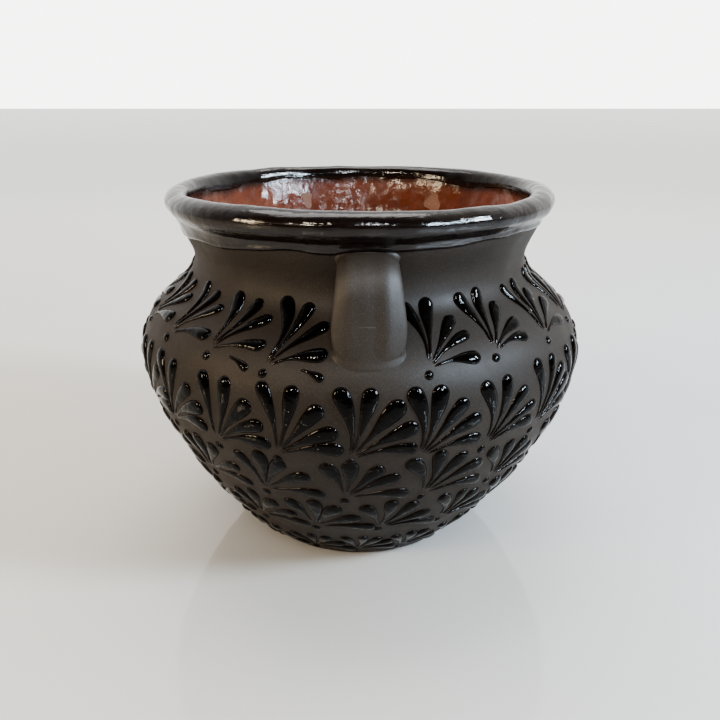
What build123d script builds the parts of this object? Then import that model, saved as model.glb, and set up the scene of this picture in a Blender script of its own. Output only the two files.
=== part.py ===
"""Black clay pot (olla) with a glazed inside, two strap handles and rows of raised teardrop fans.

Millimetres, +Z up. Origin at the centre of the flat foot, on the surface the pot stands on.
The front handle is on the -Y side. Angles round the pot run from -Y towards +X.
"""
from build123d import *
from math import cos, degrees, radians, sin
import os

os.makedirs("parts", exist_ok=True)

# Outside of the thrown clay wall: radius, height and slope in degrees, from the foot up
foot = (46.9, 0.0, 43.5)
under_belly = (74.8, 33.1, 56.3)
lower_belly = (94.8, 71.9, 71.0)
belly = (98.4, 92.2, 90.0)
shoulder = (88.3, 113.1, 141.6)
shoulder_slope_length = 11.8
neck_top = (74.9, 137.6, 65.6)

# Wall, floor and rolled lip
wall = 6.0
floor_thickness = 8.0
floor_cove = 26.0
rim_height = 153.3
lip_radius = 4.5
lip_blend = 3.0

# Coats laid on the clay
coat = 0.6
glaze_edge_outside = 143.5
glaze_edge_inside = 150.5

# Strap handles, pulled from clay: half heights of the section and radius and height of its path
handle_angle = 2.3
strap_width = 27.0
strap_crest = 3.6
strap_groove = 2.5
strap_back = 3.0
crest_spacing = 14.6
strap_top = (75.0, 142.6)
strap_bow = (89.6, 131.0)
strap_foot = (91.4, 98.0)

# The strap's rounded lower end, pressed on the shoulder
end_height = 101.5
end_width = 29.0
end_radius = 14.0

# Raised strokes: each fan sweeps from a nearly upright teardrop down to the right
relief = 1.2
strokes_per_fan = 5
first_stroke_angle = 99.0
stroke_step = 21.2
tail_radius = 0.5
dot_radius = 1.65
dot_drop = 2.5
fan_lean = 9.0
sector_arc = 70.0

# Rows of fans: distance up the wall to the roots, fans in a full circle, stroke length,
# teardrop head radius and the angle of one root
rows = {
    "row_1": (127.5, 20, 21.0, 2.9, -2.0),
    "row_2": (89.5, 22, 24.3, 3.1, -1.0),
    "row_3": (63.5, 17, 22.0, 3.1, -2.8),
    "row_4": (37.0, 17, 21.5, 3.1, 6.0),
    "row_5": (8.5, 17, 17.0, 2.5, -1.6),
}
handle_row = "row_1"

# Single commas either side of each handle's foot
comma_rise = 122.0
comma_length = 6.0
comma_radius = 1.5
comma_tilt = -30.0
comma_angles = (-28.5, -11.5)

# Longer than any section of the pot, for cutting planes
span = 200.0


def wall_outline(depth):
    """The wall's line that far inside the clay's outer face, from the foot to above the rim."""
    knots = []
    for radius, height, slope in (foot, under_belly, lower_belly, belly, shoulder, neck_top):
        turn = radians(slope)
        knots.append((radius - depth * sin(turn), height + depth * cos(turn)))
    rise = (cos(radians(foot[2])), sin(radians(foot[2])))
    with BuildLine(Plane.XZ) as line:
        body = Spline(*knots[:4], tangents=(rise, (0, 1)))
        round_over = TangentArc(body @ 1, knots[4], tangent=body % 1)
        slope_in = PolarLine(round_over @ 1, shoulder_slope_length, direction=round_over % 1)
        waist = TangentArc(slope_in @ 1, knots[5], tangent=slope_in % 1)
        PolarLine(waist @ 1, span / 4, direction=waist % 1)
    return line.line


def space_within(depth):
    """All the space inside that line, carried past the axis."""
    line = wall_outline(depth)
    start = line.wires()[0] @ 0
    end = line.wires()[0] @ 1
    with BuildSketch(Plane.XZ) as space:
        with BuildLine():
            add(line)
            Polyline(end, (-span, 0, end.Z), (-span, 0, start.Z), start)
        make_face()
    return space.sketch


def band(low, high):
    """The half section right of the axis between two heights."""
    with BuildSketch(Plane.XZ) as strip:
        with Locations((0, low)):
            Rectangle(span / 2, high - low, align=(Align.MIN, Align.MIN))
    return strip.sketch


# Sections of the clay: the hollow first, then the wall with the lip rolled over its top
hollows = []
for lining in (0, coat):
    with BuildSketch(Plane.XZ) as hollow:
        add(space_within(wall + lining))
        add(band(floor_thickness + lining, span), mode=Mode.INTERSECT)
        floor_corner = hollow.vertices().group_by(Axis.Y)[0].sort_by(Axis.X)[-1]
        fillet(floor_corner, floor_cove - lining)
    hollows.append(hollow.sketch)
clay_hollow, lined_hollow = hollows

wall_line = wall_outline(0).wires()[0]
flare = wall_line.edges().sort_by(Axis.Z)[-1]
flare_along = flare % 1
rim_outside = flare @ ((rim_height - (flare @ 0).Z) / ((flare @ 1).Z - (flare @ 0).Z))
lip_centre = rim_outside + Vector(-flare_along.Z, 0, flare_along.X) * (wall / 2)

with BuildSketch(Plane.XZ) as clay_section:
    add(space_within(0))
    add(clay_hollow, mode=Mode.SUBTRACT)
    add(band(0, lip_centre.Z), mode=Mode.INTERSECT)
    with Locations((lip_centre.X, lip_centre.Z)):
        Circle(lip_radius)
    under_lip = clay_section.vertices().sort_by_distance((lip_centre.X, lip_centre.Z))
    fillet(under_lip[:2], lip_blend)

# Sections of the three coats
with BuildSketch(Plane.XZ) as slip_section:
    add(space_within(-coat))
    add(space_within(0), mode=Mode.SUBTRACT)
    add(band(0, glaze_edge_outside), mode=Mode.INTERSECT)

with BuildSketch(Plane.XZ) as lining_section:
    add(clay_hollow)
    add(lined_hollow, mode=Mode.SUBTRACT)
    add(band(0, glaze_edge_inside), mode=Mode.INTERSECT)

with BuildSketch(Plane.XZ) as glaze_section:
    add(clay_section.sketch)
    add(band(neck_top[1] + wall, span), mode=Mode.INTERSECT)
    offset(amount=coat)
    add(clay_section.sketch, mode=Mode.SUBTRACT)
    add(band(glaze_edge_outside, span), mode=Mode.INTERSECT)
    add(lining_section.sketch, mode=Mode.SUBTRACT)

# A band over the slip, as thick as the raised strokes stand
with BuildSketch(Plane.XZ) as relief_section:
    add(space_within(-coat - relief))
    add(space_within(-coat), mode=Mode.SUBTRACT)
    add(band(0, glaze_edge_outside), mode=Mode.INTERSECT)


def wall_plane(distance):
    """The plane that touches the -Y side of the wall that far up it, with +X to the right."""
    at = wall_line.position_at(distance, position_mode=PositionMode.LENGTH)
    up = wall_line.tangent_at(distance, position_mode=PositionMode.LENGTH)
    return Plane(origin=(0, -at.X, at.Z), x_dir=(1, 0, 0), z_dir=(0, -up.Z, -up.X))


def turned(angle):
    """A place turned about the pot's axis, from -Y towards +X."""
    return Location((0, 0, 0), (0, 0, angle))


def teardrop(length, head_radius):
    """A stroke with its tail at the origin and its round head along +X."""
    with BuildSketch() as stroke:
        Circle(tail_radius)
        with Locations((length - head_radius, 0)):
            Circle(head_radius)
        make_hull()
    return stroke.sketch


# Clay body, turned on the wheel in one piece
with BuildPart() as clay_body:
    add(clay_section.sketch)
    revolve(axis=Axis.Z)
clay_body.part.label = "clay_body"
export_step(clay_body.part, "parts/clay_body.step")

with BuildPart() as inside_wall:
    with BuildSketch(Plane.XZ):
        add(space_within(0))
        add(band(0, span), mode=Mode.INTERSECT)
    revolve(axis=Axis.Z)

# Strap handle: it leaves the neck level under the lip and comes straight down on the shoulder
with BuildLine(Plane.YZ) as strap_path:
    strap = Spline(
        (-strap_top[0], strap_top[1]),
        (-strap_bow[0], strap_bow[1]),
        (-strap_foot[0], strap_foot[1]),
        tangents=((-1, 0), (0, -1)),
    )

with BuildPart() as strap_handle:
    with BuildSketch(Plane(origin=strap @ 0, x_dir=(1, 0, 0), z_dir=strap % 0)):
        with BuildLine():
            Spline(
                (-strap_width / 2, 0),
                (-crest_spacing / 2, strap_crest),
                (0, strap_groove),
                (crest_spacing / 2, strap_crest),
                (strap_width / 2, 0),
                tangents=((0, 1), (0, -1)),
            )
            Spline(
                (strap_width / 2, 0),
                (crest_spacing / 2, -strap_back),
                (-crest_spacing / 2, -strap_back),
                (-strap_width / 2, 0),
                tangents=((0, -1), (0, 1)),
            )
        make_face()
    sweep(path=strap_path.line)
    with BuildSketch(Plane.XZ):
        with Locations((0, end_height)):
            RectangleRounded(end_width, span / 2, end_radius, align=(Align.CENTER, Align.MIN))
    extrude(amount=span / 2, mode=Mode.INTERSECT)
    add(inside_wall.part, mode=Mode.SUBTRACT)
    add(clay_body.part, mode=Mode.SUBTRACT)

with BuildPart() as handle_front:
    with Locations(turned(handle_angle)):
        add(strap_handle.part)
handle_front.part.label = "handle_front"
export_step(handle_front.part, "parts/handle_front.step")

with BuildPart() as handle_back:
    with Locations(turned(handle_angle + 180)):
        add(strap_handle.part)
handle_back.part.label = "handle_back"
export_step(handle_back.part, "parts/handle_back.step")

# Matte slip over the outside, from the foot to the rim glaze, and stopping at the handles
with BuildPart() as slip_coat:
    add(slip_section.sketch)
    revolve(axis=Axis.Z)
    add(handle_front.part, mode=Mode.SUBTRACT)
    add(handle_back.part, mode=Mode.SUBTRACT)
slip_coat.part.label = "slip_coat"
export_step(slip_coat.part, "parts/slip_coat.step")

# Black glaze over the lip
with BuildPart() as rim_glaze:
    add(glaze_section.sketch)
    revolve(axis=Axis.Z)
    add(handle_front.part, mode=Mode.SUBTRACT)
    add(handle_back.part, mode=Mode.SUBTRACT)
rim_glaze.part.label = "rim_glaze"
export_step(rim_glaze.part, "parts/rim_glaze.step")

# Brown glaze over the whole inside
with BuildPart() as interior_glaze:
    add(lining_section.sketch)
    revolve(axis=Axis.Z)
interior_glaze.part.label = "interior_glaze"
export_step(interior_glaze.part, "parts/interior_glaze.step")

# The -Y side of the band over the slip, which trims every stroke to the pot's curve
with BuildPart() as band_sector:
    add(relief_section.sketch)
    revolve(axis=Axis.Z, revolution_arc=sector_arc)

with BuildPart() as relief_shell:
    with Locations(turned(-90 - sector_arc / 2)):
        add(band_sector.part)

# Fans of raised strokes, and the dot under the root of each fan
for name, (rise_to_root, count, length, head_radius, first_root) in rows.items():
    middle = rise_to_root + length / 2
    fan_plane = wall_plane(middle)
    lean_angle = degrees(fan_lean / -fan_plane.origin.Y)

    with BuildPart() as fan:
        with BuildSketch(fan_plane):
            for i in range(strokes_per_fan):
                stroke_angle = first_stroke_angle - i * stroke_step
                with Locations(Location((-fan_lean, -length / 2, 0), (0, 0, stroke_angle))):
                    add(teardrop(length, head_radius))
        extrude(amount=fan_lean, both=True)
        add(relief_shell.part, mode=Mode.INTERSECT)

    with BuildPart() as dot:
        with BuildSketch(wall_plane(rise_to_root - dot_drop)):
            Circle(dot_radius)
        extrude(amount=fan_lean, both=True)
        add(relief_shell.part, mode=Mode.INTERSECT)

    pitch = 360 / count
    slots = [i for i in range(count) if name != handle_row or i % (count // 2) != 0]
    root_angles = [first_root + i * pitch for i in slots]

    with BuildPart() as fans:
        with Locations([turned(angle + lean_angle) for angle in root_angles]):
            add(fan.part)
        add(handle_front.part, mode=Mode.SUBTRACT)
        add(handle_back.part, mode=Mode.SUBTRACT)
    fans.part.label = "fan_strokes_" + name
    export_step(fans.part, "parts/fan_strokes_" + name + ".step")

    with BuildPart() as dots:
        with Locations([turned(angle) for angle in root_angles]):
            add(dot.part)
    dots.part.label = "root_dots_" + name
    export_step(dots.part, "parts/root_dots_" + name + ".step")

# Single commas beside each handle's foot
with BuildPart() as comma:
    with BuildSketch(wall_plane(comma_rise)):
        with Locations(Location((-comma_length / 2, 0, 0), (0, 0, comma_tilt))):
            add(teardrop(comma_length, comma_radius))
    extrude(amount=fan_lean, both=True)
    add(relief_shell.part, mode=Mode.INTERSECT)

with BuildPart() as comma_strokes:
    with Locations([turned(angle + side) for angle in comma_angles for side in (0, 180)]):
        add(comma.part)
comma_strokes.part.label = "comma_strokes"
export_step(comma_strokes.part, "parts/comma_strokes.step")
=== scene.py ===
"""Looks of the black clay pot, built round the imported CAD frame. Metres, +Z up, front handle on -Y."""
import math

import bpy
import numpy as np
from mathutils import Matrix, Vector


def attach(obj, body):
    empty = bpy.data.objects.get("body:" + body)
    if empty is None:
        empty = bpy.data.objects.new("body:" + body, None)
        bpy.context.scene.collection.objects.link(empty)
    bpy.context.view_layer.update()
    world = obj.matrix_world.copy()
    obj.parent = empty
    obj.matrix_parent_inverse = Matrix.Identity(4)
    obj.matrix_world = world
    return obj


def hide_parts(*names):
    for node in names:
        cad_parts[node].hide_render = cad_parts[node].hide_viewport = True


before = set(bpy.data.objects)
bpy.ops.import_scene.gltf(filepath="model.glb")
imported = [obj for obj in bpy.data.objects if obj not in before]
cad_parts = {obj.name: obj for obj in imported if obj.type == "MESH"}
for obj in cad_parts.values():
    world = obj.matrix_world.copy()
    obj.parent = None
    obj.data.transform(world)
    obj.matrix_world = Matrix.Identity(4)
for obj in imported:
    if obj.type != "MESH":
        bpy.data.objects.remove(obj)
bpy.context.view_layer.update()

MM = 0.001
TAU = 2 * math.pi
random = np.random.default_rng(7)

# Outside of the wall, in millimetres: a start, then arcs (radius, turn in degrees) and straights
FOOT_RADIUS = 47.8
FOOT_RISE = 43.7
WALL_CHAIN = (
    ("arc", 194.7, 25.5),
    ("arc", 56.6, 21.5),
    ("arc", 27.3, 51.0),
    ("straight", 11.8, 0.0),
    ("arc", 13.6, -76.9),
    ("straight", 9.0, 0.0),
)
# The rolled lip, from the flare over the top to the inside, as radius and height
LIP = (
    (80.6, 149.4),
    (82.9, 151.6),
    (84.4, 153.8),
    (84.5, 156.2),
    (82.6, 158.5),
    (79.4, 159.6),
    (76.6, 158.6),
    (75.1, 155.6),
    (74.4, 152.0),
)
WALL_THICKNESS = 6.6
FLOOR_HEIGHT = 8.6
COVE_START = 18.0
COVE_SLOPE = 1.25
COVE_FLOOR_RADIUS = 30.0
# A shallow hollow under the foot, as share of the foot's radius and height
FOOT_HOLLOW = ((0.06, 0.55), (0.35, 0.50), (0.65, 0.35), (0.88, 0.08))

# Where the coats meet on the surface
GLAZE_EDGE_HEIGHT = 143.6
GLAZE_INSIDE_DEPTH = 8.5
GLAZE_OVERLAP = 3.0
SLIP_OVERLAP = 1.5
COAT = 0.6
LINING = 0.4

# Strap handles
HANDLE_ANGLES = {"handle_front": 2.3, "handle_back": 182.3}
STRAP_PATH = (
    (71.0, 142.6), (76.5, 142.9), (81.5, 141.9), (85.4, 139.0), (87.9, 134.2),
    (89.4, 127.0), (90.3, 118.0), (90.7, 109.0), (89.4, 101.0), (85.5, 94.0),
)
STRAP_HALF_WIDTH = 13.6
STRAP_TOP_HALF_WIDTH = 10.8
STRAP_OUTER = 3.9
STRAP_INNER = 3.6
# Soft ridges down the strap, as distance across, height and width
STRAP_RIDGES = ((-7.8, 0.9, 3.4), (-1.8, 0.25, 2.6), (6.6, 0.9, 3.4))
END_HEIGHT = 100.0
END_RADIUS = 20.0
FILLET = 2.6
# The patch of wall that melts into the strap: half angle in radians, lowest and highest height
PATCH_HALF_ANGLE = 0.30
PATCH_LOW = 93
PATCH_HIGH = 147
PATCH_FADE = 146.6

# Raised strokes. Each head is placed from the fan's root: (across, up), in millimetres
ROWS = {
    "row_1": {
        "rise": 124.6, "count": 20, "width": 2.8, "skip": (0, 10), "first": -2.0,
        "roots": {-4: -73.0, -3: -55.0, -2: -37.8, -1: -21.2, 1: 15.4, 2: 33.0, 3: 52.8, 4: 71.0},
        "heads": ((-2.6, 24.2), (5.3, 24.6), (13.3, 18.6), (18.2, 11.0), (19.8, 2.4)),
    },
    "row_2": {
        "rise": 87.0, "count": 22, "width": 3.2, "skip": (), "first": -2.2,
        "roots": {-3: -53.0, -2: -35.4, -1: -18.9, 0: -2.2, 1: 13.4, 2: 30.4, 3: 47.0},
        "heads": ((-3.0, 26.6), (7.8, 26.8), (16.6, 20.8), (22.2, 13.2), (23.0, 4.8)),
    },
    "row_3": {
        "rise": 62.5, "count": 17, "width": 3.2, "skip": (), "first": -2.8,
        "roots": {-1: -25.8, 0: -3.9, 1: 16.8, 2: 38.8},
        "heads": ((-6.2, 18.8), (3.2, 19.8), (12.2, 17.8), (19.0, 11.6), (22.0, 2.6)),
    },
    "row_4": {
        "rise": 37.0, "count": 17, "width": 3.2, "skip": (), "first": 6.0,
        "roots": {-1: -15.2, 0: 6.0, 1: 28.0},
        "heads": ((-5.2, 17.8), (4.0, 19.0), (11.8, 16.2), (18.4, 9.2), (21.6, 0.6)),
    },
    "row_5": {
        "rise": 8.0, "count": 17, "width": 2.6, "skip": (), "first": -1.6,
        "roots": {},
        "heads": ((-5.0, 14.6), (2.6, 16.4), (9.4, 14.6), (14.4, 8.6), (16.4, 1.4)),
    },
}
# Hand variation: the fans left of the front handle have four strokes
LEFT_HEADS = ((1.0, 24.6), (10.0, 23.2), (17.4, 17.0), (21.8, 5.8))
LEFT_SLOTS = (-4, -3, -2, -1)
# Fans of the top row that start lower, and are taller by as much
LOW_ROOTS = {-1: 2.4, 1: 2.0}
FAN_HEIGHT = 26
STROKE_LEANS = (-0.17, -0.08, 0.05, 0.12, 0.17)
STROKE_HEIGHT = 1.35
DOT_RADIUS = 1.8
DOT_DROP = 2.3
COMMA_WIDTH = 1.7
COMMA_LEAN = 0.12
# Commas, as angle and distance up the wall of the tail, then of the head
COMMAS = ((-31.0, 124.0, -26.0, 121.0), (-12.6, 122.6, -8.4, 120.2))


# ---------------------------------------------------------------- surface of the pot

def arc_points(x, z, heading, radius, turn):
    """Points along an arc that starts at x, z with that heading; a positive turn is to the left."""
    side = math.copysign(1, turn)
    steps = np.linspace(0, abs(math.radians(turn)), 60)[1:]
    cx = x - side * radius * math.sin(heading)
    cz = z + side * radius * math.cos(heading)
    angles = heading + side * steps
    return cx + side * radius * np.sin(angles), cz - side * radius * np.cos(angles), angles[-1]


def smooth_line(points, per_span):
    """A Catmull-Rom line through the points."""
    p = np.array(points, float)
    p = np.vstack([2 * p[0] - p[1], p, 2 * p[-1] - p[-2]])
    t = np.linspace(0, 1, per_span, endpoint=False)[:, None]
    spans = []
    for a, b, c, d in zip(p[:-3], p[1:-2], p[2:-1], p[3:]):
        square, cube = 2 * a - 5 * b + 4 * c - d, 3 * b - a - 3 * c + d
        spans.append(0.5 * (2 * b + (c - a) * t + square * t**2 + cube * t**3))
    return np.vstack(spans + [p[-2:-1]])


def make_profile():
    """The pot's whole section, from the foot's edge over the lip to the middle of the floor."""
    x, z, heading = FOOT_RADIUS, 0.0, math.radians(FOOT_RISE)
    outside = [(x, z)]
    for kind, size, turn in WALL_CHAIN:
        if kind == "arc":
            xs, zs, heading = arc_points(x, z, heading, size, turn)
        else:
            steps = np.linspace(0, size, 12)[1:]
            xs, zs = x + steps * math.cos(heading), z + steps * math.sin(heading)
        outside.extend(zip(xs, zs))
        x, z = xs[-1], zs[-1]
    outside = np.array(outside)
    lip = smooth_line(LIP, 14)
    along = np.gradient(outside, axis=0)
    along /= np.linalg.norm(along, axis=1)[:, None]
    inside = outside + WALL_THICKNESS * np.column_stack([-along[:, 1], along[:, 0]])
    inside = inside[(inside[:, 1] > COVE_START) & (inside[:, 1] < LIP[-1][1] - 4)][::-1]
    cove_top = inside[-1]
    bend = np.array([cove_top[0] - (cove_top[1] - FLOOR_HEIGHT) / COVE_SLOPE, FLOOR_HEIGHT])
    cove_foot = np.array([COVE_FLOOR_RADIUS, FLOOR_HEIGHT])
    t = np.linspace(0, 1, 24)[1:, None]
    cove = (1 - t) ** 2 * cove_top + 2 * t * (1 - t) * bend + t**2 * cove_foot
    floor = np.column_stack([np.linspace(COVE_FLOOR_RADIUS, 0.01, 14)[1:], np.full(13, FLOOR_HEIGHT)])
    line = np.vstack([outside, lip, inside, cove, floor])
    for _ in range(3):
        line[1:-1] = 0.25 * line[:-2] + 0.5 * line[1:-1] + 0.25 * line[2:]
    return line


PROFILE = make_profile()
STEPS = np.linalg.norm(np.diff(PROFILE, axis=0), axis=1)
ARC = np.concatenate([[0], np.cumsum(STEPS)])
GRADIENT = np.gradient(PROFILE, ARC, axis=0)
GRADIENT /= np.linalg.norm(GRADIENT, axis=1)[:, None]
TOP = ARC[np.argmax(PROFILE[:, 1])]
END = ARC[-1]


def section(s):
    """Radius, height and outward normal of the profile at distances s along it."""
    r = np.interp(s, ARC, PROFILE[:, 0])
    z = np.interp(s, ARC, PROFILE[:, 1])
    nr = np.interp(s, ARC, GRADIENT[:, 1])
    nz = np.interp(s, ARC, -GRADIENT[:, 0])
    return r, z, nr, nz


def distance_at_height(height):
    """How far along the profile its outside crosses that height."""
    part = ARC < TOP
    return float(np.interp(height, PROFILE[part, 1], ARC[part]))


class Waves:
    """A smooth random field: a sum of plane waves with wavelengths near one size, in millimetres."""

    def __init__(self, wavelength, squash=(1, 1, 1), count=28):
        direction = random.normal(size=(count, 3))
        direction /= np.linalg.norm(direction, axis=1)[:, None]
        length = wavelength * random.uniform(0.7, 1.5, count)
        self.k = direction * (TAU / length)[:, None] / np.array(squash)
        self.phase = random.uniform(0, TAU, count)
        self.gain = math.sqrt(2 / count)

    def __call__(self, points):
        total = np.zeros(points.shape[:-1])
        for k, phase in zip(self.k, self.phase):
            total += np.sin(points @ k + phase)
        return total * self.gain


BODY_SWELL = Waves(95)
BODY_LUMPS = Waves(24)
THROWING = Waves(9, squash=(9, 9, 1))
INNER_LUMPS = Waves(17, squash=(1, 1, 1.3))
INNER_RIPPLE = Waves(7, squash=(1, 1, 1.5))
RIM_SWELL = Waves(30)
RIM_RIPPLE = Waves(8)


def irregular(points, s):
    """How far the hand-made surface stands from the true turned one, in millimetres."""
    outside = np.clip((TOP - s) / 10, 0, 1)
    lift = 0.30 * BODY_SWELL(points) + 0.10 * BODY_LUMPS(points)
    lift = lift + 0.05 * THROWING(points) * outside
    return lift * np.clip(points[..., 2] / 6, 0, 1)


def surface(phi, s, lift=0.0):
    """Points in millimetres at angles phi round from -Y towards +X, distances s along, and lift off."""
    phi, s = np.broadcast_arrays(np.asarray(phi, float), np.asarray(s, float))
    r, z, nr, nz = section(s)
    around = np.stack([np.sin(phi), -np.cos(phi), np.zeros_like(phi)], -1)
    base = around * r[..., None]
    base[..., 2] = z
    normal = around * nr[..., None]
    normal[..., 2] = nz
    return base + normal * (irregular(base, s) + lift)[..., None]


# ---------------------------------------------------------------- mesh and piece helpers

def mesh_object(name, points, faces, attributes=None):
    """An object from points in millimetres, smooth shaded."""
    mesh = bpy.data.meshes.new(name)
    mesh.from_pydata((points * MM).tolist(), [], faces)
    mesh.polygons.foreach_set("use_smooth", [True] * len(mesh.polygons))
    for key, values in (attributes or {}).items():
        layer = mesh.attributes.new(key, "FLOAT", "POINT")
        layer.data.foreach_set("value", np.asarray(values, np.float32))
    mesh.update()
    mesh.validate()
    piece = bpy.data.objects.new(name, mesh)
    bpy.context.scene.collection.objects.link(piece)
    return piece


def finish_piece(piece, material, nodes):
    """Material, body and replaced CAD nodes of a piece."""
    piece.data.materials.append(material)
    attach(piece, "root")
    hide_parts(*nodes)
    return piece


def ring_faces(rings, size, offset=0):
    """Quads between closed rings of points laid end to end."""
    faces = []
    for i in range(rings - 1):
        for j in range(size):
            k = (j + 1) % size
            a, b = offset + i * size, offset + (i + 1) * size
            faces.append((a + j, a + k, b + k, b + j))
    return faces


def shell(name, phis, rows, under=COAT, attribute=None):
    """A closed coat: rows of (distance, lift) arrays round the pot, and the same line sunk below."""
    count = len(phis)
    top = [surface(phis, s, lift) for s, lift in rows]
    low = [surface(phis, s, np.minimum(lift, 0) - under) for s, lift in reversed(rows)]
    points = np.concatenate(top + low)
    rings = len(top) + len(low)
    faces = ring_faces(rings, count)
    last = (rings - 1) * count
    faces += [(last + j, last + (j + 1) % count, (j + 1) % count, j) for j in range(count)]
    return mesh_object(name, points, faces, attribute)


# ---------------------------------------------------------------- materials

class Nodes:
    """Short calls for building one material."""

    def __init__(self, name):
        self.material = bpy.data.materials.new(name)
        self.material.use_nodes = True
        self.tree = self.material.node_tree
        self.shader = self.tree.nodes["Principled BSDF"]
        self.place = self.add("ShaderNodeTexCoord").outputs["Object"]

    def add(self, kind, **values):
        node = self.tree.nodes.new(kind)
        for key, value in values.items():
            setattr(node, key, value)
        return node

    def link(self, a, b):
        self.tree.links.new(a, b)

    def stretched(self, scale):
        node = self.add("ShaderNodeMapping")
        node.inputs["Scale"].default_value = scale
        self.link(self.place, node.inputs["Vector"])
        return node.outputs["Vector"]

    def noise(self, scale, detail=4.0, rough=0.55, vector=None):
        node = self.add("ShaderNodeTexNoise")
        node.inputs["Scale"].default_value = scale
        node.inputs["Detail"].default_value = detail
        node.inputs["Roughness"].default_value = rough
        self.link(vector or self.place, node.inputs["Vector"])
        return node.outputs["Fac"]

    def ramp(self, source, stops):
        node = self.add("ShaderNodeValToRGB")
        while len(node.color_ramp.elements) < len(stops):
            node.color_ramp.elements.new(0.5)
        for element, (position, color) in zip(node.color_ramp.elements, stops):
            element.position = position
            element.color = (*color, 1)
        self.link(source, node.inputs["Fac"])
        return node.outputs["Color"]

    def range(self, source, low, high, start=0.0, end=1.0):
        node = self.add("ShaderNodeMapRange")
        node.inputs["From Min"].default_value = start
        node.inputs["From Max"].default_value = end
        node.inputs["To Min"].default_value = low
        node.inputs["To Max"].default_value = high
        self.link(source, node.inputs["Value"])
        return node.outputs["Result"]

    def mix(self, factor, a, b, blend="MIX"):
        node = self.add("ShaderNodeMix", data_type="RGBA", blend_type=blend)
        sockets = [node.inputs[0], node.inputs[6], node.inputs[7]]
        for socket, value in zip(sockets, (factor, a, b)):
            if isinstance(value, bpy.types.NodeSocket):
                self.link(value, socket)
            elif isinstance(value, tuple):
                socket.default_value = (*value, 1)
            else:
                socket.default_value = value
        return node.outputs[2]

    def bump(self, height, distance, strength=1.0, normal=None):
        node = self.add("ShaderNodeBump")
        node.inputs["Distance"].default_value = distance
        node.inputs["Strength"].default_value = strength
        self.link(height, node.inputs["Height"])
        if normal is not None:
            self.link(normal, node.inputs["Normal"])
        return node.outputs["Normal"]

    def attribute(self, name):
        return self.add("ShaderNodeAttribute", attribute_name=name).outputs["Fac"]

    def shade(self, **sockets):
        for key, value in sockets.items():
            socket = self.shader.inputs[key.replace("_", " ")]
            if isinstance(value, bpy.types.NodeSocket):
                self.link(value, socket)
            else:
                socket.default_value = value
        return self.material


def slip_material(name, smooth, rough_end, gloss):
    n = Nodes(name)
    dark, light = (0.0225, 0.0165, 0.0122), (0.0310, 0.0235, 0.0178)
    cloud = n.ramp(n.noise(28, 5), ((0.3, dark), (0.7, light)))
    grain = n.noise(1900, 3, 0.7)
    # Lighter specks: partly the slip's real grain and partly painted glints standing in for the sparkle of
    # that grain.
    grain_and_painted_glints = n.mix(n.range(grain, 0.0, 0.7, 0.54, 0.72), cloud, (0.064, 0.053, 0.044))
    pits = n.mix(n.range(n.noise(1100, 2), 0.0, 0.6, 0.60, 0.74), grain_and_painted_glints, (0.009, 0.007, 0.0055))
    rough = n.range(n.noise(60, 4), smooth, rough_end, 0.3, 0.7)
    fine = n.bump(grain, 0.00010, 0.45)
    soft = n.bump(n.noise(170, 3), 0.0003, 0.30, fine)
    return n.shade(Base_Color=pits, Roughness=rough, Normal=soft, Specular_IOR_Level=gloss)


def stroke_material():
    n = Nodes("stroke_glaze")
    thick = n.attribute("thickness")
    thin, middle, full = (0.016, 0.009, 0.006), (0.004, 0.003, 0.0025), (0.002, 0.0017, 0.0016)
    tone = n.ramp(thick, ((0.0, thin), (0.45, middle), (1.0, full)))
    rough = n.range(n.noise(240, 3), 0.03, 0.10, 0.35, 0.7)
    wave = n.bump(n.noise(300, 2), 0.0007, 0.5)
    return n.shade(Base_Color=tone, Roughness=rough, Normal=wave, Specular_IOR_Level=0.13)


def rim_material():
    n = Nodes("black_glaze")
    streak = n.noise(1.0, 5, 0.6, n.stretched((60, 60, 900)))
    black, warm, brown = (0.006, 0.004, 0.004), (0.010, 0.006, 0.004), (0.030, 0.014, 0.008)
    tone = n.ramp(streak, ((0.35, black), (0.62, warm), (0.8, brown)))
    edge = n.mix(n.range(n.attribute("thickness"), 0.8, 0.0, 0.0, 0.7), tone, (0.030, 0.013, 0.008))
    rough = n.range(streak, 0.07, 0.17, 0.3, 0.75)
    lines = n.bump(streak, 0.0003, 0.5)
    lumps = n.bump(n.noise(120, 3), 0.0009, 0.55, lines)
    return n.shade(Base_Color=edge, Roughness=rough, Normal=lumps, Specular_IOR_Level=0.42)


def interior_material():
    n = Nodes("brown_glaze")
    patch = n.noise(34, 5, 0.6)
    deep_red, red, light = (0.092, 0.024, 0.012), (0.135, 0.038, 0.019), (0.180, 0.058, 0.029)
    tone = n.ramp(patch, ((0.3, deep_red), (0.55, red), (0.75, light)))
    deep = n.mix(n.range(n.noise(160, 4), 0.0, 0.5, 0.5, 0.75), tone, (0.060, 0.012, 0.005))
    shaded = n.mix(n.range(n.attribute("black"), 0.0, 1.0), deep, (0.012, 0.006, 0.004))
    rough = n.range(n.noise(200, 3), 0.16, 0.34, 0.35, 0.7)
    lumps = n.bump(n.noise(150, 3), 0.0011, 0.55)
    return n.shade(Base_Color=shaded, Roughness=rough, Normal=lumps, Specular_IOR_Level=0.24)


def clay_material():
    n = Nodes("fired_clay")
    tone = n.ramp(n.noise(45, 6), ((0.3, (0.13, 0.060, 0.034)), (0.7, (0.21, 0.10, 0.058))))
    grit = n.mix(n.range(n.noise(900, 3), 0.0, 0.6, 0.58, 0.72), tone, (0.30, 0.20, 0.14))
    rough = n.range(n.noise(300, 3), 0.7, 0.92)
    return n.shade(Base_Color=grit, Roughness=rough, Normal=n.bump(n.noise(700, 4), 0.0002))


SLIP = slip_material("matte_slip", 0.48, 0.62, 0.22)
HANDLED = slip_material("slipped_clay", 0.44, 0.56, 0.36)
STROKE = stroke_material()
BLACK = rim_material()
BROWN = interior_material()
CLAY = clay_material()


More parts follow.
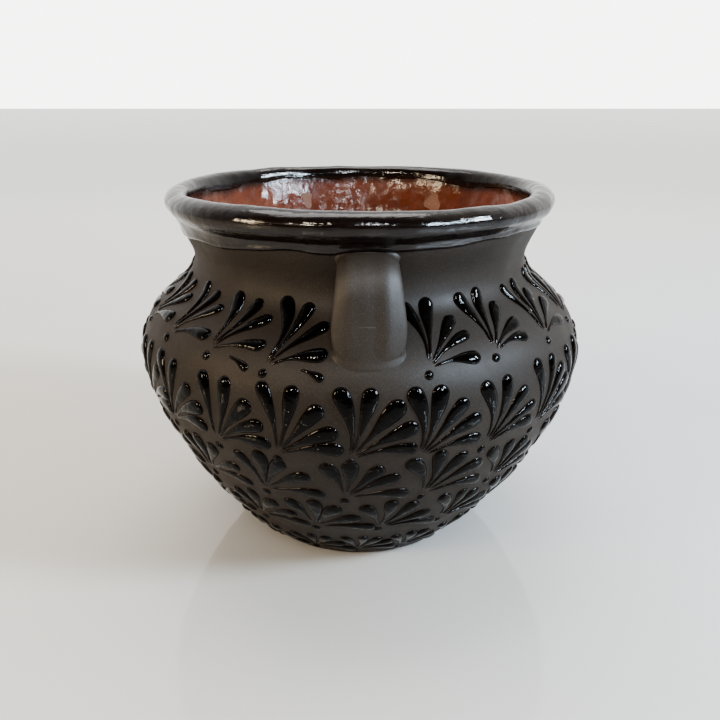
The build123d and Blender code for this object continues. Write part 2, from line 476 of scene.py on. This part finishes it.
# ---------------------------------------------------------------- body and coats

ROUND = np.linspace(0, TAU, 480, endpoint=False)
EDGE_SWAY = Waves(150)
EDGE_WOBBLE = Waves(26)
INSIDE_WOBBLE = Waves(34)
RING_POINTS = np.stack([80 * np.sin(ROUND), -80 * np.cos(ROUND), np.zeros_like(ROUND)], -1)


def glaze_edge(phi_points):
    """How far up the wall the dipped glaze reaches, round the pot."""
    base = distance_at_height(GLAZE_EDGE_HEIGHT)
    x, y = phi_points[..., 0] / 80, phi_points[..., 1] / 80
    dip = 2.2 * -y + 1.4 * x + 0.45 * EDGE_WOBBLE(phi_points) + 0.4 * EDGE_SWAY(phi_points)
    return base + dip


def body():
    """The thrown clay: it shows on the underside of the foot."""
    rows = [surface(ROUND, np.full_like(ROUND, s), -COAT) for s in np.linspace(0, END - 1, 150)]
    rows[0][:, 2] = 0.0
    under = []
    for share, height in FOOT_HOLLOW:
        ring = rows[0] * share
        ring[:, 2] = height
        under.append(ring)
    points = np.concatenate(under + rows)
    rings = len(under) + len(rows)
    count = len(ROUND)
    faces = ring_faces(rings, count)
    faces.append(tuple(range(count))[::-1])
    faces.append(tuple((rings - 1) * count + j for j in range(count)))
    finish_piece(mesh_object("clay_body_visual", points, faces), CLAY, ["clay_body"])


def slip():
    """Matte slip from the foot to just under the rim glaze."""
    edge = glaze_edge(RING_POINTS) + SLIP_OVERLAP
    rows = [(edge * k, np.zeros_like(ROUND)) for k in np.linspace(0, 1, 210)]
    finish_piece(shell("slip_coat_visual", ROUND, rows), SLIP, ["slip_coat"])


def rim():
    """Thick black glaze over the lip, with a rounded lower edge and a soft second ridge."""
    low = glaze_edge(RING_POINTS)
    high = TOP + GLAZE_INSIDE_DEPTH + 0.5 * INSIDE_WOBBLE(RING_POINTS)
    rows, thick = [], []
    near_edge, near_end = [0, 0.004, 0.01, 0.02, 0.035, 0.055], [0.96, 0.98, 1.0]
    share = np.concatenate([near_edge, np.linspace(0.08, 0.94, 64), near_end])
    for k in share:
        s = low + (high - low) * k
        edge_away = s - low
        roll = np.sqrt(np.clip(1 - (1 - np.clip(edge_away / 1.6, 0, 1)) ** 2, 0, 1))
        bead = 0.28 * np.exp(-((edge_away - 1.3) / 1.0) ** 2)
        ridge = 0.16 * np.exp(-((edge_away - 7.2) / 1.3) ** 2)
        inner_fade = np.clip((high - s) / 3.0, 0, 1)
        place = surface(ROUND, s)
        waves = 0.08 * RIM_SWELL(place) + 0.03 * RIM_RIPPLE(place)
        lift = (0.50 * roll + bead + ridge + waves) * inner_fade
        rows.append((s, np.maximum(lift, -0.05) + 0.02 * (k > 0)))
        thick.append(roll * inner_fade)
    values = np.concatenate(thick + thick[::-1])
    piece = shell("rim_glaze_visual", ROUND, rows, attribute={"thickness": values})
    finish_piece(piece, BLACK, ["rim_glaze"])


def interior():
    """Lumpy brown glaze down the inside, running up under the black."""
    start = TOP + GLAZE_INSIDE_DEPTH - GLAZE_OVERLAP
    rows, black = [], []
    for k in np.linspace(0, 1, 170):
        s = start + (END - 0.3 - start) * k
        where = np.full_like(ROUND, s)
        place = surface(ROUND, where)
        fade = min(1.0, (s - start) / 8)
        lumps = 0.34 * INNER_LUMPS(place) + 0.10 * INNER_RIPPLE(place)
        lift = lumps * fade * min(1, (END - s) / 30 + 0.05)
        rows.append((where, lift))
        black.append(np.clip(1 - (s - start - 2.4 - 0.5 * INSIDE_WOBBLE(RING_POINTS)) / 3.5, 0, 1))
    values = np.concatenate(black + black[::-1])
    shade = {"black": values}
    piece = shell("interior_glaze_visual", ROUND, rows, under=LINING, attribute=shade)
    finish_piece(piece, BROWN, ["interior_glaze"])


# ---------------------------------------------------------------- handles

def strap_frames():
    """The strap's middle line, its outward direction and half width, as radius and height."""
    path = smooth_line(STRAP_PATH, 18)
    along = np.gradient(path, axis=0)
    along /= np.linalg.norm(along, axis=1)[:, None]
    outward = np.column_stack([-along[:, 1], along[:, 0]])
    widening = np.clip((144 - path[:, 1]) / 22, 0, 1)
    full = STRAP_TOP_HALF_WIDTH + (STRAP_HALF_WIDTH - STRAP_TOP_HALF_WIDTH) * widening
    into_end = np.clip((END_HEIGHT + END_RADIUS - path[:, 1]) / END_RADIUS, 0, 0.97)
    return path, outward, full * np.sqrt(1 - into_end**2), into_end


def strap_distance(points, path, outward, half):
    """Nearly the distance of points from a plain strap on the -Y side."""
    r, z = -points[..., 1], points[..., 2]
    i = ((r[..., None] - path[:, 0]) ** 2 + (z[..., None] - path[:, 1]) ** 2).argmin(-1)
    y = (r - path[i, 0]) * outward[i, 0] + (z - path[i, 1]) * outward[i, 1]
    wide, deep = half[i], np.where(y > 0, STRAP_OUTER, STRAP_INNER)
    ratio = np.hypot(points[..., 0] / wide, y / deep)
    slope = np.hypot(points[..., 0] / wide**2, y / deep**2)
    return ratio * (ratio - 1) / np.maximum(slope, 1e-6)


def strap_fillet(path, outward, half):
    """Lift over a patch of wall that melts it into the strap: angles, distances and lift."""
    phis, distances = np.meshgrid(
        np.linspace(-PATCH_HALF_ANGLE, PATCH_HALF_ANGLE, 110),
        np.linspace(distance_at_height(PATCH_LOW), distance_at_height(PATCH_HIGH), 130),
    )
    r, z, nr, nz = section(distances)
    around = np.stack([np.sin(phis), -np.cos(phis), np.zeros_like(phis)], -1)
    base, normal = around * r[..., None], around * nr[..., None]
    base[..., 2], normal[..., 2] = z, nz
    lift, before = np.zeros_like(phis), np.full_like(phis, -1e-6)
    rising = np.ones(phis.shape, bool)
    step = 0.3
    for t in np.arange(step, 11, step):
        away = strap_distance(base + normal * t, path, outward, half) + 0.30
        melt = np.clip(1 - np.abs(t - away) / FILLET, 0, 1)
        value = np.minimum(t, away) - melt**2 * FILLET / 4
        crossed = rising & (value >= 0)
        lift[crossed] = t - step + step * (before / (before - value))[crossed]
        rising &= value < 0
        lift[rising] = t
        before = value
    for _ in range(2):
        beside = lift[:-2, 1:-1] + lift[2:, 1:-1] + lift[1:-1, :-2] + lift[1:-1, 2:]
        lift[1:-1, 1:-1] = (beside + 2 * lift[1:-1, 1:-1]) / 6
    lift *= np.clip((distance_at_height(PATCH_FADE) - distances) / 2.5, 0, 1)
    return phis, distances, lift - 0.22 * (1 - np.clip(lift / 0.4, 0, 1))


def strap(name, angle):
    """A pulled strap with soft ridges, smeared into the wall at both ends."""
    path, outward, halves, into_ends = strap_frames()
    across = np.linspace(0, TAU, 72, endpoint=False)
    wobble = Waves(22)
    rings = []
    for (r, z), (out_r, out_z), half, into_end in zip(path, outward, halves, into_ends):
        c, d = np.cos(across), np.sin(across)
        x = half * c
        ridges = sum(height * np.exp(-((x - at) / wide) ** 2) for at, height, wide in STRAP_RIDGES)
        ridges = ridges * np.clip((z - 106) / 9, 0, 1) * half / STRAP_HALF_WIDTH
        y = np.where(d > 0, STRAP_OUTER - 0.5 + ridges, STRAP_INNER) * d
        ring = np.column_stack([x, -(r + y * out_r), z + y * out_z])
        rings.append(ring + 0.12 * wobble(ring)[:, None] * np.array([0.3, 1, 0.3]))
    size = len(across)
    points = np.concatenate(rings)
    distance = np.hypot(points[:, 0], points[:, 1])
    wall = PROFILE[ARC < TOP]
    deepest = np.interp(points[:, 2], wall[:, 1], wall[:, 0]) - 1.5
    points[:, :2] *= (np.maximum(distance, deepest) / distance)[:, None]
    faces = ring_faces(len(rings), size)
    faces.append(tuple(range(size))[::-1])
    faces.append(tuple((len(rings) - 1) * size + j for j in range(size)))
    turn = math.radians(angle)
    x, y = points[:, 0].copy(), points[:, 1].copy()
    points[:, 0] = x * math.cos(turn) - y * math.sin(turn)
    points[:, 1] = x * math.sin(turn) + y * math.cos(turn)

    phis, distances, lift = strap_fillet(path, outward, halves)
    high = surface(phis + turn, distances, lift)
    low = surface(phis + turn, distances, -0.5)
    rows, columns = phis.shape
    slab = np.concatenate([high, low[:, ::-1]], axis=1).reshape(-1, 3)
    start, width = len(points), 2 * columns
    faces += ring_faces(rows, width, start)
    for first in (start, start + (rows - 1) * width):
        for j in range(columns - 1):
            quad = (first + j, first + j + 1, first + width - 2 - j, first + width - 1 - j)
            faces.append(quad[::-1] if first == start else quad)
    points = np.concatenate([points, slab])
    finish_piece(mesh_object(name + "_visual", points, faces), HANDLED, [name])


# ---------------------------------------------------------------- raised strokes

def stroke_points(root, head, width, lean, height):
    """Rings over one teardrop: across, up and lift in millimetres, and the glaze's thickness."""
    root, head = np.array(root, float), np.array(head, float)
    to_head = head - root
    length = np.linalg.norm(to_head)
    side = np.array([-to_head[1], to_head[0]]) / length
    bend = root + 0.5 * to_head + side * lean * length
    t = np.linspace(0, 1, 25)[:, None]
    line = (1 - t) ** 2 * root + 2 * t * (1 - t) * bend + t**2 * head
    end = head - bend
    end /= np.linalg.norm(end)
    cap = np.sin(np.linspace(0, 1, 10)[1:] * math.pi / 2 * 0.995)[:, None]
    line = np.vstack([line, head + end * cap * width])
    along = np.gradient(line, axis=0)
    along /= np.maximum(np.linalg.norm(along, axis=1), 1e-6)[:, None]
    normal = np.column_stack([-along[:, 1], along[:, 0]])
    k = t[:, 0]
    swell = np.clip((k - 0.22) / 0.76, 0, 1)
    body_half = 0.55 + 0.35 * k + (width - 0.9) * (swell * swell * (3 - 2 * swell)) ** 1.25
    body_half *= np.clip(k / 0.06, 0.25, 1) ** 0.5
    half = np.concatenate([body_half, width * np.sqrt(np.clip(1 - cap[:, 0] ** 2, 0.0004, 1))])
    v = np.sin(np.linspace(-1, 1, 13) * math.pi / 2)
    crown = height * np.clip(0.30 + 0.70 * half / width, 0, 1) * np.minimum(1, half / (0.3 * width) + 0.35)
    tail_fade = np.clip(np.linspace(0, len(half) / 3, len(half)), 0.35, 1)
    ring = []
    for i in range(len(line)):
        across = line[i] + normal[i] * (v * half[i])[:, None]
        lift = crown[i] * tail_fade[i] * np.clip(1 - np.abs(v) ** 2.4, 0, 1) ** 0.55 - 0.12
        low = line[i] + normal[i] * (v[::-4] * half[i] * 0.9)[:, None]
        ring.append(np.vstack([
            np.column_stack([across, lift]),
            np.column_stack([low, np.full(len(low), -0.45)]),
        ]))
    return np.array(ring)


def place_on_wall(phi, s, local):
    """Local across, up and lift laid on the wall round a root at phi, s."""
    up = s + local[..., 1]
    r = section(up)[0]
    return surface(phi + local[..., 0] / r, up, local[..., 2])


def collect(shapes, name, nodes):
    """One piece of many closed ring shapes."""
    points, faces, thick, start = [], [], [], 0
    for shape, lift in shapes:
        rings, size = shape.shape[:2]
        flat = shape.reshape(-1, 3)
        points.append(flat)
        thick.append(np.clip(lift.reshape(-1) / 1.2, 0, 1))
        faces += ring_faces(rings, size, start)
        faces.append(tuple(start + j for j in range(size))[::-1])
        faces.append(tuple(start + (rings - 1) * size + j for j in range(size)))
        start += len(flat)
    piece = mesh_object(name, np.concatenate(points), faces, {"thickness": np.concatenate(thick)})
    finish_piece(piece, STROKE, nodes)


def dome(phi, s, rx, ry, height, tilt):
    """A drop of glaze: rings from its edge to its top."""
    angle = np.linspace(0, TAU, 20, endpoint=False)
    rings = []
    for k in np.linspace(0, 1, 8):
        scale = math.cos(k * math.pi / 2 * 0.98)
        x, y = rx * scale * np.cos(angle), ry * scale * np.sin(angle)
        turned_x = x * math.cos(tilt) - y * math.sin(tilt)
        turned_y = x * math.sin(tilt) + y * math.cos(tilt)
        lift = np.full_like(angle, height * math.sin(k * math.pi / 2) - 0.15)
        rings.append(np.column_stack([turned_x, turned_y, lift]))
    local = np.array([rings[0] * np.array([1, 1, 0]) - np.array([0, 0, 0.45])] + rings)
    return place_on_wall(phi, s, local), local[..., 2]


def fans(row_name, row):
    """A row of fans and the dots under their roots."""
    strokes, dots = [], []
    pitch = 360 / row["count"]
    for i in range(row["count"]):
        if i in row["skip"]:
            continue
        slot = i if i <= row["count"] // 2 else i - row["count"]
        degrees = row["roots"].get(slot, row["first"] + slot * pitch + random.normal(0, 0.5))
        phi = math.radians(degrees)
        drop = LOW_ROOTS.get(slot, 0.0) if row_name == "row_1" else 0.0
        rise = row["rise"] - drop + random.normal(0, 0.5)
        size = random.normal(1.0, 0.03)
        heads = LEFT_HEADS if row_name == "row_1" and slot in LEFT_SLOTS else row["heads"]
        for k, head in enumerate(heads):
            head = np.array(head) * (size, size + drop / FAN_HEIGHT) + random.normal(0, 0.55, 2)
            toward = head / np.linalg.norm(head)
            root = toward * random.uniform(1.4, 3.0) + np.array([0.5, 0.4])
            lean = STROKE_LEANS[k] + random.normal(0, 0.03)
            width = row["width"] * random.normal(1.0, 0.08)
            height = STROKE_HEIGHT * random.normal(1.0, 0.06)
            local = stroke_points(root, head, width, lean, height)
            strokes.append((place_on_wall(phi, rise, local), local[..., 2]))
        rx, ry = DOT_RADIUS * random.normal(1, 0.1), DOT_RADIUS * random.normal(1.08, 0.1)
        shift = random.normal(0, 0.35, 2) / 90
        dot_rise = rise - DOT_DROP + 30 * shift[1]
        dots.append(dome(phi + shift[0], dot_rise, rx, ry, 1.0, random.uniform(0, 3)))
    collect(strokes, "fan_strokes_" + row_name + "_visual", ["fan_strokes_" + row_name])
    collect(dots, "root_dots_" + row_name + "_visual", ["root_dots_" + row_name])


def commas():
    """Single small strokes beside each handle's foot."""
    shapes = []
    for side in (0, 180):
        for phi_a, s_a, phi_b, s_b in COMMAS:
            phi = math.radians(phi_a + side)
            head = (math.radians(phi_b - phi_a) * section(s_b)[0], s_b - s_a)
            local = stroke_points((0, 0), head, COMMA_WIDTH, COMMA_LEAN, 1.0)
            shapes.append((place_on_wall(phi, s_a, local), local[..., 2]))
    collect(shapes, "comma_strokes_visual", ["comma_strokes"])


# ---------------------------------------------------------------- stage, lights and camera

def floor():
    """Plain pale glossy floor with painted light in its colour: warm lamp light at the left, cool light at
    the right, and paler far off.
    """
    n = Nodes("floor_pale")
    cloud = n.ramp(n.noise(3.0, 3), ((0.3, (0.55, 0.55, 0.55)), (0.7, (0.61, 0.61, 0.61))))
    split = n.add("ShaderNodeSeparateXYZ")
    n.link(n.place, split.inputs[0])
    # Painted light: the floor's colour runs from warm at the left, under the warm lamp, to cool at the
    # right, under the cool light.
    across = n.range(split.outputs["X"], 0, 1, -0.4, 0.3)
    painted_light_tint = n.ramp(across, ((0.0, (1.0, 0.95, 0.84)), (1.0, (0.98, 0.985, 1.0))))
    floor_with_painted_light = n.mix(1.0, cloud, painted_light_tint, "MULTIPLY")
    # Painted light and shade: the floor is paler far off behind the pot and darker near the pot and the
    # camera.
    tone = n.mix(n.range(split.outputs["Y"], 0.0, 1.0, 0.12, 0.9), floor_with_painted_light, (0.96, 0.95, 0.93))
    n.shade(Base_Color=tone, Roughness=0.07)
    mesh = bpy.data.meshes.new("floor")
    size = 6.0
    corners = [(-size, -size, 0), (size, -size, 0), (size, size, 0), (-size, size, 0)]
    mesh.from_pydata(corners, [], [(0, 1, 2, 3)])
    piece = bpy.data.objects.new("floor", mesh)
    bpy.context.scene.collection.objects.link(piece)
    mesh.materials.append(n.material)


def aim(piece, target):
    """Turns a light to face a point."""
    piece.rotation_euler = (Vector(target) - piece.location).to_track_quat("-Z", "Y").to_euler()


def area_light(name, place, target, size, power, color):
    """A rectangular light that faces a point."""
    data = bpy.data.lights.new(name, "AREA")
    data.shape = "RECTANGLE"
    data.size, data.size_y = size
    data.energy = power
    data.color = color
    light = bpy.data.objects.new(name, data)
    light.location = place
    bpy.context.scene.collection.objects.link(light)
    aim(light, target)
    return light


def lights():
    """Soft studio lights, three small ones seen only as glints, and a pale world behind the pot."""
    middle = (0, 0, 0.1)
    area_light("cool_window", (0.85, -0.32, 0.55), middle, (0.16, 0.30), 17, (0.74, 0.87, 1.0))
    area_light("warm_side", (-1.0, -0.55, 0.42), middle, (0.30, 0.26), 9, (1.0, 0.80, 0.56))
    area_light("overhead", (-0.1, 0.40, 1.35), middle, (1.1, 0.7), 11, (1.0, 0.98, 0.95))
    fill = area_light("front_fill", (-0.15, -1.0, 0.95), middle, (1.0, 0.6), 7, (1.0, 0.93, 0.84))
    fill.visible_glossy = False
    for name, place, size, power, color in (
        ("glint_right", (0.62, -0.55, 0.42), (0.07, 0.22), 9.0, (0.66, 0.83, 1.0)),
        ("glint_left", (-0.42, -0.75, 0.62), (0.08, 0.06), 4.0, (1.0, 0.90, 0.72)),
        ("glint_front", (0.16, -0.80, 0.80), (0.10, 0.05), 4.0, (0.92, 0.96, 1.0)),
    ):
        glint = area_light(name, place, middle, size, power, color)
        glint.visible_diffuse = False
    world = bpy.data.worlds.new("studio")
    bpy.context.scene.world = world
    world.use_nodes = True
    tree = world.node_tree
    background = tree.nodes["Background"]
    place = tree.nodes.new("ShaderNodeTexCoord")
    split = tree.nodes.new("ShaderNodeSeparateXYZ")
    tree.links.new(place.outputs["Generated"], split.inputs[0])
    toward_back = tree.nodes.new("ShaderNodeMapRange")
    toward_back.inputs["From Min"].default_value = -0.25
    toward_back.inputs["From Max"].default_value = 0.6
    toward_back.inputs["To Min"].default_value = 0.02
    toward_back.inputs["To Max"].default_value = 1.5
    tree.links.new(split.outputs["Y"], toward_back.inputs["Value"])
    seen = tree.nodes.new("ShaderNodeLightPath")
    mix = tree.nodes.new("ShaderNodeMix")
    tree.links.new(seen.outputs["Is Camera Ray"], mix.inputs[0])
    tree.links.new(toward_back.outputs["Result"], mix.inputs[2])
    mix.inputs[3].default_value = 3.8
    tree.links.new(mix.outputs[0], background.inputs["Strength"])
    background.inputs["Color"].default_value = (0.97, 0.965, 0.95, 1)


def camera():
    """The photograph's view: from the front, looking 20 degrees down."""
    data = bpy.data.cameras.new("camera")
    data.sensor_width = 36
    data.lens = 38.24
    eye = bpy.data.objects.new("camera", data)
    eye.location = (0.0004, -0.3472, 0.203)
    eye.rotation_euler = (math.radians(69.97), 0, 0)
    bpy.context.scene.collection.objects.link(eye)
    bpy.context.scene.camera = eye
    bpy.context.scene.view_settings.look = "AgX - Medium High Contrast"


body()
slip()
rim()
interior()
for handle, angle in HANDLE_ANGLES.items():
    strap(handle, angle)
for row_name, row in ROWS.items():
    fans(row_name, row)
commas()
floor()
lights()
camera()
